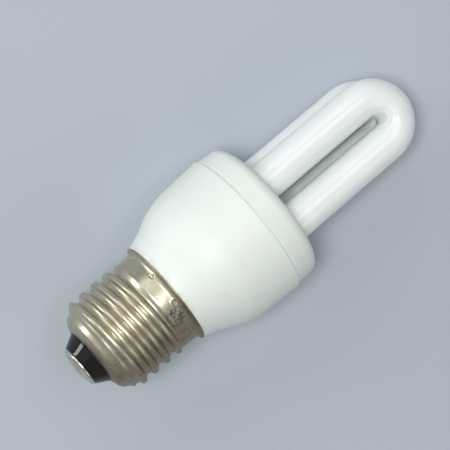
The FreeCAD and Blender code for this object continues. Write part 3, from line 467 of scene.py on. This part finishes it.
cover_outline += arc(edge_start, edge_end, COVER_EDGE, True, 16)
cover_outline += [(11.5, COVER_TOP), (0, COVER_TOP), (0, COVER_TOP - COVER_WALL),
                  (11.5, COVER_TOP - COVER_WALL), (PLUG_BORE, COVER_TOP - COVER_WALL),
                  (PLUG_BORE, SEAM_HEIGHT - PLUG_DEPTH), (PLUG_RADIUS, SEAM_HEIGHT - PLUG_DEPTH)]
cover_shell = turned("cover_shell", cover_outline, WIDE_STEPS)
legs = [(side * LEG_X, face * PLANE_Y) for side in (-1, 1) for face in (-1, 1)]
for x, y in legs:
    bpy.ops.mesh.primitive_cylinder_add(vertices=SMALL_STEPS, radius=HOLE_RADIUS * mm,
                                        depth=DRILL_LENGTH * mm, location=(x * mm, y * mm, COVER_TOP * mm))
    drill = bpy.context.object
    apply_modifier(cover_shell, "BOOLEAN", object=drill, operation="DIFFERENCE", solver="EXACT")
    bpy.data.objects.remove(drill)
lay_down(cover_shell, "white_moulding", "tube_cover", smooth=30)

# %% [markdown]
# Each U is a straight tube that the glassworks softens and bends, so it is modelled in the same way: a ring
# is pulled up one leg, spun half a turn round the middle of the bend and pulled down the other leg. A
# bevelled curve would give the same bend, but not the ends, which are drawn in and closed under the cover.

# %% Steps of a tube
LEG_END = 22.6
END_ROUNDING = 2.6
END_STEPS = 6
LEG_RINGS = 24
BEND_STEPS = 48
RING_POINTS = 72
LEVEL_TOLERANCE = 0.001


def pull(distance):
    """Pulls the selected ring along the lamp's axis."""
    lift = (0, 0, distance * mm / LEG_RINGS)
    for _ in range(LEG_RINGS):
        bpy.ops.mesh.extrude_region_move(TRANSFORM_OT_translate={"value": lift})


def close_end(x, y):
    """Draws the selected ring down and in over a round end and closes it."""
    radius, reach = TUBE_RADIUS, 0
    for step in range(1, END_STEPS + 1):
        angle = math.pi / 2 * step / END_STEPS
        new_radius = TUBE_RADIUS - END_ROUNDING * (1 - math.cos(angle))
        new_reach = END_ROUNDING * math.sin(angle)
        lift = (0, 0, (reach - new_reach) * mm)
        bpy.ops.mesh.extrude_region_move(TRANSFORM_OT_translate={"value": lift})
        centre = (x * mm, y * mm, (LEG_END + END_ROUNDING - new_reach) * mm)
        scale = new_radius / radius
        bpy.ops.transform.resize(value=(scale, scale, 1), center_override=centre)
        radius, reach = new_radius, new_reach
    bpy.ops.mesh.edge_face_add()


def select_level(piece, height):
    """Selects the ring of edges that lies at a height."""
    bpy.ops.mesh.select_mode(type="EDGE")
    bpy.ops.mesh.select_all(action="DESELECT")
    mesh = bmesh.from_edit_mesh(piece.data)
    for edge in mesh.edges:
        gaps = [abs(vertex.co.z - height * mm) for vertex in edge.verts]
        edge.select_set(max(gaps) < LEVEL_TOLERANCE * mm)
    bmesh.update_edit_mesh(piece.data)


# %% [markdown]
# The two U's stand side by side. Each is one closed skin, so the ring is worked in one go from the closed end
# of the first leg to that of the second.

# %% Glass tubes
def u_tube(name, y):
    """One U whose flat lies at y: the ring starts above the rounding of the leg's end."""
    bpy.ops.object.select_all(action="DESELECT")
    bpy.ops.mesh.primitive_circle_add(vertices=RING_POINTS, radius=TUBE_RADIUS * mm, location=(0, 0, 0))
    piece = bpy.context.object
    piece.name = piece.data.name = name
    bpy.ops.object.mode_set(mode="EDIT")
    bpy.ops.transform.translate(value=(LEG_X * mm, y * mm, (LEG_END + END_ROUNDING) * mm))
    close_end(LEG_X, y)
    select_level(piece, LEG_END + END_ROUNDING)
    pull(BEND_HEIGHT - LEG_END - END_ROUNDING)
    bpy.ops.mesh.spin(steps=BEND_STEPS, angle=math.pi, center=(0, y * mm, BEND_HEIGHT * mm), axis=(0, 1, 0))
    pull(LEG_END + END_ROUNDING - BEND_HEIGHT)
    close_end(-LEG_X, y)
    tidy_normals()
    bpy.ops.object.mode_set(mode="OBJECT")
    return piece


tubes = [u_tube("glass_tube_front", PLANE_Y), u_tube("glass_tube_rear", -PLANE_Y)]
for tube in tubes:
    lay_down(tube, "milky_tube", "discharge_tube", smooth=60)

# %% [markdown]
# Shader sums are easier to read as Python sums. A small class holds one output of a node tree, and its
# operators add the Math nodes.

# %% Sums on sockets
class Sum:
    """An output in a node tree on which Python sums add Math nodes."""

    def __init__(self, finish, socket):
        self.finish = finish
        self.socket = socket

    def maths(self, operation, *others):
        return self.finish.node("Math", {"operation": operation}, dict(enumerate((self, *others))))

    def __add__(self, other):
        return self.maths("ADD", other)

    def __sub__(self, other):
        return self.maths("SUBTRACT", other)

    def __mul__(self, other):
        return self.maths("MULTIPLY", other)

    def __pow__(self, other):
        return self.maths("POWER", other)

    def __radd__(self, other):
        return self + other

    def __rmul__(self, other):
        return self * other

    def __rsub__(self, other):
        return self.finish.node("Math", {"operation": "SUBTRACT"}, {0: other, 1: self})

    def rise(self, low, high):
        """0 below low, 1 above high, smooth between."""
        return self.finish.node("MapRange", {"interpolation_type": "SMOOTHSTEP"},
                                {"Value": self, "From Min": low, "From Max": high})


# %% [markdown]
# A finish is one material. Any node that isn't a sum comes from its one method, node, and the others are
# short names for what every finish needs: a place on the lamp, noise, relief and the surface itself.

# %% Finishes
class Finish:
    """One material, or the world. Nodes are added by node(), and shader() makes a material's surface."""

    def __init__(self, name, kind=bpy.data.materials):
        self.owner = kind.new(name)
        self.owner.use_nodes = True
        self.tree = self.owner.node_tree
        self.tree.nodes.clear()

    def feed(self, socket, value):
        if isinstance(value, Sum):
            self.tree.links.new(value.socket, socket)
        else:
            socket.default_value = value

    def node(self, kind, settings=None, inputs=None, output=0):
        """Adds a node, its settings first. Its sockets have a name or, where names repeat, a number."""
        made = self.tree.nodes.new("ShaderNode" + kind)
        for key, value in (settings or {}).items():
            setattr(made, key, value)
        for key, value in (inputs or {}).items():
            self.feed(made.inputs[key], value)
        return None if output is None else Sum(self, made.outputs[output])

    def mix(self, factor, first, second):
        """A colour between two. The Mix node's sockets 6 and 7 and its output 2 are the ones for colours."""
        return self.node("Mix", {"data_type": "RGBA"}, {0: factor, 6: first, 7: second}, output=2)

    def point(self):
        return self.node("TexCoord", output="Object")

    def lamp_place(self):
        """X, Y and Z of the shaded point in the lamp's frame, in mm."""
        offset = self.node("VectorMath", {"operation": "SUBTRACT"}, {0: self.point(), 1: rim_centre})
        dot = {"operation": "DOT_PRODUCT"}
        return [self.node("VectorMath", dot, {0: offset, 1: axis / mm}, output="Value")
                for axis in (across, above, along)]

    def noise(self, scale, detail=3.0, roughness=0.5, stretch=None):
        """Noise of a scale in 1/mm; stretch gives coordinates to use instead of the object's."""
        vector = self.point() if stretch is None else stretch
        factor = scale / mm if stretch is None else scale
        inputs = {"Vector": vector, "Scale": factor, "Detail": detail, "Roughness": roughness}
        return self.node("TexNoise", None, inputs)

    def vector(self, x, y, z):
        return self.node("CombineXYZ", None, {0: x, 1: y, 2: z})

    def bump(self, height, strength, depth):
        return self.node("Bump", None, {"Height": height, "Strength": strength, "Distance": depth * mm})

    def shader(self, **inputs):
        """Makes the surface from the Principled shader's inputs and gives the finished material."""
        surface = self.node("BsdfPrincipled", None, {key.replace("_", " "): inputs[key] for key in inputs})
        self.node("OutputMaterial", None, {"Surface": surface}, output=None)
        return self.owner


def colour(red, green, blue):
    return (red, green, blue, 1.0)


def distance(*parts):
    """Length of a way whose parts along the axes are given."""
    squares = [part ** 2.0 for part in parts]
    return sum(squares[1:], squares[0]) ** 0.5


materials = {}


def keep(slot, material):
    """Files a finish under the record's slot that it is for."""
    materials[slot] = material
    print(slot, "nodes:", len(material.node_tree.nodes))


# %% [markdown]
# Nickel plate on the cap is warm and a little tarnished. Rolling leaves fine lines round the shell, and
# handling leaves dull patches. Painted shade makes the cap's side towards minus X darker and browner.
# Brown tarnish gathers at the shell's end, the flared lip is darker and browner towards the rim, and a dark
# stain sits on the collar. Each of these is a noise or a distance on the lamp's own coordinates, which needs
# no picture.

# %% Plated sheet
STAIN = (-3.65, 11.95, -3.4)
CLEAN_PLATE = colour(0.55, 0.514, 0.395), colour(0.61, 0.572, 0.45)
# Brown for tarnish, and also for the painted shade on one side of the cap.
TARNISH_AND_SHADE_BROWN = colour(0.27, 0.21, 0.145)
STAIN_GREY = colour(0.07, 0.078, 0.07)


def nickel_plate():
    finish = Finish("nickel_plate")
    x, y, z = finish.lamp_place()
    angle = finish.node("Math", {"operation": "ARCTAN2"}, {0: y, 1: x})
    round_lines = finish.noise(1.0, 2.0, 0.5, finish.vector(angle * 1.2, z * 4.5, 0.0))
    patches = finish.noise(0.14, 4.0, 0.6).rise(0.42, 0.72)
    specks = finish.noise(1.1, 5.0, 0.75).rise(0.38, 0.62)
    smudges = finish.noise(0.5, 4.0, 0.65).rise(0.48, 0.72)
    stain_gap = distance(x - STAIN[0], y - STAIN[1], z - STAIN[2])
    stain = (1 - stain_gap.rise(1.2, 4.4)) * (specks * 0.7 + 0.3)
    # Darker and browner towards the rim, where the cap meets the housing.
    lip = z.rise(-1.2, -0.1)
    shell_end = 1 - z.rise(-23.4, -21.6)
    # Painted shade: the cap's side towards minus X is made darker and browner, with a noisy edge.
    shaded_side = (0 - x + patches * 4.0).rise(-2.5, 10.0)
    tarnish_and_shade = lip * 0.45 + shell_end * 0.35 + patches * 0.22 + smudges * 0.34 + shaded_side * 0.72
    tarnish_and_shade = tarnish_and_shade.maths("MINIMUM", 1.0)
    base = finish.mix(round_lines, *CLEAN_PLATE)
    base = finish.mix(tarnish_and_shade, base, TARNISH_AND_SHADE_BROWN)
    base = finish.mix(stain, base, STAIN_GREY)
    rough = 0.30 + patches * 0.08 + tarnish_and_shade * 0.12 + stain * 0.2
    height = finish.bump(round_lines * 0.5 + stain * -0.6, 0.35, 0.02)
    return finish.shader(Base_Color=base, Metallic=1.0, Roughness=rough, Normal=height)


keep("nickel_plate", nickel_plate())

# %% [markdown]
# The contact is the same sheet, worn brighter. The solder is duller and grainy, because it cooled without a
# mould. The glass button is nearly black and very smooth, so a slow ripple is enough to break its
# reflections, with a little dust on it.

# %% Contact, solder and black glass
def contact_metal():
    finish = Finish("contact_plate")
    patches = finish.noise(0.5, 4.0, 0.6).rise(0.4, 0.75)
    base = finish.mix(patches, colour(0.66, 0.62, 0.53), colour(0.40, 0.34, 0.25))
    height = finish.bump(finish.noise(1.5, 2.0), 0.2, 0.02)
    return finish.shader(Base_Color=base, Metallic=1.0, Roughness=0.2 + patches * 0.2, Normal=height)


def solder_metal():
    finish = Finish("solder")
    grain = finish.noise(2.2, 4.0, 0.6)
    base = finish.mix(grain, colour(0.50, 0.50, 0.48), colour(0.74, 0.73, 0.70))
    height = finish.bump(grain, 0.35, 0.03)
    return finish.shader(Base_Color=base, Metallic=1.0, Roughness=0.28 + grain * 0.2, Normal=height)


def black_glass():
    finish = Finish("black_glass")
    flow = finish.noise(0.35, 2.0, 0.4)
    dust = finish.noise(3.0, 2.0, 0.5).rise(0.66, 0.78)
    base = finish.mix(dust, colour(0.004, 0.004, 0.0045), colour(0.03, 0.03, 0.028))
    height = finish.bump(flow, 0.15, 0.05)
    return finish.shader(Base_Color=base, Roughness=0.06 + dust * 0.15, Normal=height, Specular_IOR_Level=0.4)


keep("contact_plate", contact_metal())
keep("solder", solder_metal())
keep("black_glass", black_glass())

# %% [markdown]
# The housing is moulded in a white plastic with a satin skin. It has a faint warm and cool mottle, a fine
# grain, a few pale scuffs, and a little grey in patches next to the cap's rim.

# %% White moulding
def white_moulding():
    finish = Finish("white_moulding")
    z = finish.lamp_place()[2]
    mottle = finish.noise(0.09, 3.0, 0.5)
    grain = finish.noise(2.6, 3.0, 0.6)
    # Grey in patches, darker towards where the housing meets the cap's rim.
    rim_grey = (1 - z.rise(0.1, 1.4)) * 0.5 * finish.noise(0.5, 4.0).rise(0.35, 0.7)
    scuffs = finish.noise(0.3, 4.0, 0.6).rise(0.55, 0.75) * 0.09
    clean = finish.mix(mottle, colour(0.820, 0.895, 0.835), colour(0.845, 0.90, 0.855))
    base = finish.mix(rim_grey + scuffs, clean, colour(0.60, 0.60, 0.55))
    rough = 0.38 + grain * 0.12 + mottle * 0.06
    height = finish.bump(grain, 0.12, 0.012)
    return finish.shader(Base_Color=base, Roughness=rough, Normal=height)


keep("white_moulding", white_moulding())

# %% [markdown]
# The tubes are clear glass with a white powder coat inside. Light enters the powder and leaves it a little
# farther on, so the body is white with subsurface scattering, and the hard clear glass is the shader's coat.
# At the inner side of each bend the powder is thin, which shows as a grey patch, and a ring left white
# inside it is a painted highlight along the glass fold. Close to the cover the glass is a little brown.

# %% Milky tube
LIGHT_REACH = 3.5
FOLD_HEIGHT = BEND_HEIGHT + 1.5


def milky_tube():
    finish = Finish("milky_tube")
    x, _, z = finish.lamp_place()
    mottle = finish.noise(0.12, 3.0, 0.5)
    fold_gap = distance(x, z - FOLD_HEIGHT)
    cloud = finish.noise(0.9, 4.0, 0.7)
    # Painted highlight: a ring round the fold is left out of the grey patch, so it stays white.
    fold_highlight = (fold_gap + cloud * 1.4 - 2.6).maths("ABSOLUTE")
    thin = (1 - (fold_gap + cloud * 1.6).rise(2.4, 4.0)) * (0.2 + cloud * 0.6) * fold_highlight.rise(0.05, 0.45)
    scorch = (1 - z.rise(33.5, 37.5)) * 0.35 * finish.noise(0.4, 3.0).rise(0.3, 0.7)
    body = finish.mix(mottle, colour(0.86, 0.93, 0.895), colour(0.88, 0.94, 0.915))
    body = finish.mix(scorch, body, colour(0.62, 0.56, 0.47))
    base = finish.mix(thin * 0.85, body, colour(0.56, 0.57, 0.55))
    rough = 0.42 + mottle * 0.08
    height = finish.bump(finish.noise(0.22, 2.0, 0.4), 0.12, 0.05)
    return finish.shader(
        Base_Color=base, Roughness=rough, Normal=height, Coat_Weight=1.0, Coat_Roughness=0.035,
        Subsurface_Weight=1.0, Subsurface_Radius=(1.0, 0.97, 0.9), Subsurface_Scale=LIGHT_REACH * mm)


keep("milky_tube", milky_tube())

# %% [markdown]
# The parts inside can't be seen while the lamp is whole, but someone may open it, so each has its own finish.
# One function mixes two colours by a noise of the right grain size and gives gloss and a little relief. The
# copper differs: it shows its turns as fine lines, with painted shade in the gaps between them.

# %% Inner finishes
INNER_RELIEF = 0.2
WIRE_PITCH = 0.32
# For each slot: two colours, grains per mm, roughness, and 1 for a metal.
inner_finishes = {
    "cement": ((0.74, 0.71, 0.63), (0.82, 0.80, 0.74), 0.8, 0.75, 0.0),
    "board_laminate": ((0.50, 0.36, 0.16), (0.60, 0.45, 0.22), 0.5, 0.5, 0.0),
    "ferrite": ((0.035, 0.035, 0.038), (0.09, 0.09, 0.095), 1.4, 0.5, 0.0),
    "bobbin": ((0.02, 0.02, 0.02), (0.05, 0.05, 0.05), 0.6, 0.35, 0.0),
    "can_sleeve": ((0.02, 0.03, 0.09), (0.04, 0.06, 0.16), 0.3, 0.3, 0.0),
    "film_dip": ((0.35, 0.05, 0.02), (0.50, 0.09, 0.04), 0.5, 0.25, 0.0),
    "black_epoxy": ((0.015, 0.015, 0.015), (0.04, 0.04, 0.04), 1.2, 0.4, 0.0),
    "resistor_lacquer": ((0.52, 0.40, 0.24), (0.62, 0.50, 0.32), 0.7, 0.4, 0.0),
    "disc_dip": ((0.10, 0.20, 0.38), (0.18, 0.30, 0.48), 0.6, 0.35, 0.0),
    "tinned_wire": ((0.55, 0.54, 0.50), (0.74, 0.73, 0.70), 1.5, 0.3, 1.0),
    "red_insulation": ((0.45, 0.02, 0.015), (0.58, 0.04, 0.03), 0.5, 0.4, 0.0),
    "white_insulation": ((0.72, 0.72, 0.70), (0.82, 0.82, 0.80), 0.5, 0.4, 0.0),
}


def mottled(name, first, second, grain, rough, metallic):
    finish = Finish(name)
    pattern = finish.noise(grain, 4.0, 0.6)
    base = finish.mix(pattern.rise(0.3, 0.7), colour(*first), colour(*second))
    height = finish.bump(pattern, INNER_RELIEF, 0.05)
    return finish.shader(Base_Color=base, Metallic=metallic, Roughness=rough + pattern * 0.1, Normal=height)


def enamelled_copper():
    finish = Finish("enamelled_copper")
    z = finish.lamp_place()[2]
    phase = z * (math.tau / WIRE_PITCH) + finish.noise(0.4) * 1.5
    wave = phase.maths("SINE") * 0.5 + 0.5
    # Painted shade: the colour is darker in the gaps between the turns.
    base = finish.mix(wave, colour(0.20, 0.06, 0.02), colour(0.62, 0.25, 0.10))
    height = finish.bump(wave, 0.6, 0.08)
    return finish.shader(Base_Color=base, Metallic=0.7, Roughness=0.3 + wave * 0.1, Normal=height)


for slot, look in inner_finishes.items():
    keep(slot, mottled(slot, *look))
keep("enamelled_copper", enamelled_copper())

# %% [markdown]
# Each new piece takes the finish of the slot that it names, and each CAD node the one that the record gives
# it.

# %% Dress every piece
def dress(thing, material):
    thing.data.materials.clear()
    thing.data.materials.append(material)


for part in frame["record"]["subparts"]:
    dress(nodes[part["node"]], materials[part["material_slot"]])
for piece in (screw_shell, glass_button, contact_plate, solder_dot, housing_shell, cover_shell, *tubes):
    dress(piece, materials[piece["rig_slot"]])
print("finishes:", len(materials))

# %% [markdown]
# The stage is a plain pale floor, a hair under the lamp. The photograph looks almost straight down, so the
# floor is its whole background.

# %% Floor
FLOOR_SIDE = 4.0
FLOOR_GAP = 0.0002


def pale_floor():
    finish = Finish("pale_floor")
    return finish.shader(Base_Color=colour(0.46, 0.51, 0.57), Roughness=0.9)


bpy.ops.mesh.primitive_plane_add(size=FLOOR_SIDE, location=(0, 0, -FLOOR_GAP))
floor = bpy.context.object
floor.name = "floor"
dress(floor, pale_floor())
print("floor:", FLOOR_SIDE, "m")

# %% [markdown]
# The lamps stand where the photograph's reflections ask for them. Two high ones give soft spots on the bend
# and lines on the thread, and a softbox beside them gives the bright patch on the collar. A window low on the
# cap's side shows in the black glass, and wide weak banks on the sides lift the flanks. All stay weak enough
# that the whites don't clip. The world gives a weak even light, and the camera and the metal see it paler
# than it shines.

# %% Lights
# For each lamp: azimuth and elevation in degrees, distance and size in metres, and radiance.
lamps = {
    "overhead_softbox": (22, 67, 1.1, (0.42, 0.34), 0.48),
    "ceiling_lamp": (118, 76, 1.1, (0.24, 0.24), 7.8),
    "second_ceiling_lamp": (4, 79, 1.1, (0.12, 0.12), 3.4),
    "cap_side_bank": (165, 34, 1.1, (1.7, 0.40), 0.09),
    "left_fill": (85, 38, 1.1, (1.0, 0.6), 0.30),
    "right_fill": (285, 45, 1.1, (1.2, 0.5), 0.21),
    "window": (130, 13, 0.9, (0.30, 0.20), 2.1),
}
ROOM_LIGHT = 0.14
ROOM_SEEN = 0.20


def softbox(name, azimuth, elevation, away, size, radiance):
    """A rectangular lamp that faces the object. At radiance 1 it would show as white."""
    azimuth, elevation = math.radians(azimuth), math.radians(elevation)
    level = math.cos(elevation)
    direction = Vector((level * math.cos(azimuth), level * math.sin(azimuth), math.sin(elevation)))
    bpy.ops.object.light_add(type="AREA", location=direction * away)
    lamp = bpy.context.object
    lamp.name = name
    lamp.data.shape = "RECTANGLE"
    lamp.data.size, lamp.data.size_y = size
    lamp.data.energy = 4 * math.pi * radiance * size[0] * size[1]
    lamp.rotation_mode = "QUATERNION"
    lamp.rotation_quaternion = direction.to_track_quat("Z", "Y")


for name, setting in lamps.items():
    softbox(name, *setting)
room = Finish("studio", bpy.data.worlds)
in_view = room.node("LightPath", output="Is Camera Ray") + room.node("LightPath", output="Is Glossy Ray")
strength = ROOM_LIGHT + in_view * ROOM_SEEN
background = room.node("Background", None, {"Color": colour(1.0, 1.0, 1.0), "Strength": strength})
room.node("OutputWorld", None, {"Surface": background}, output=None)
bpy.context.scene.world = room.owner
bpy.context.scene.view_settings.view_transform = "Standard"
print("lamps:", len(lamps))
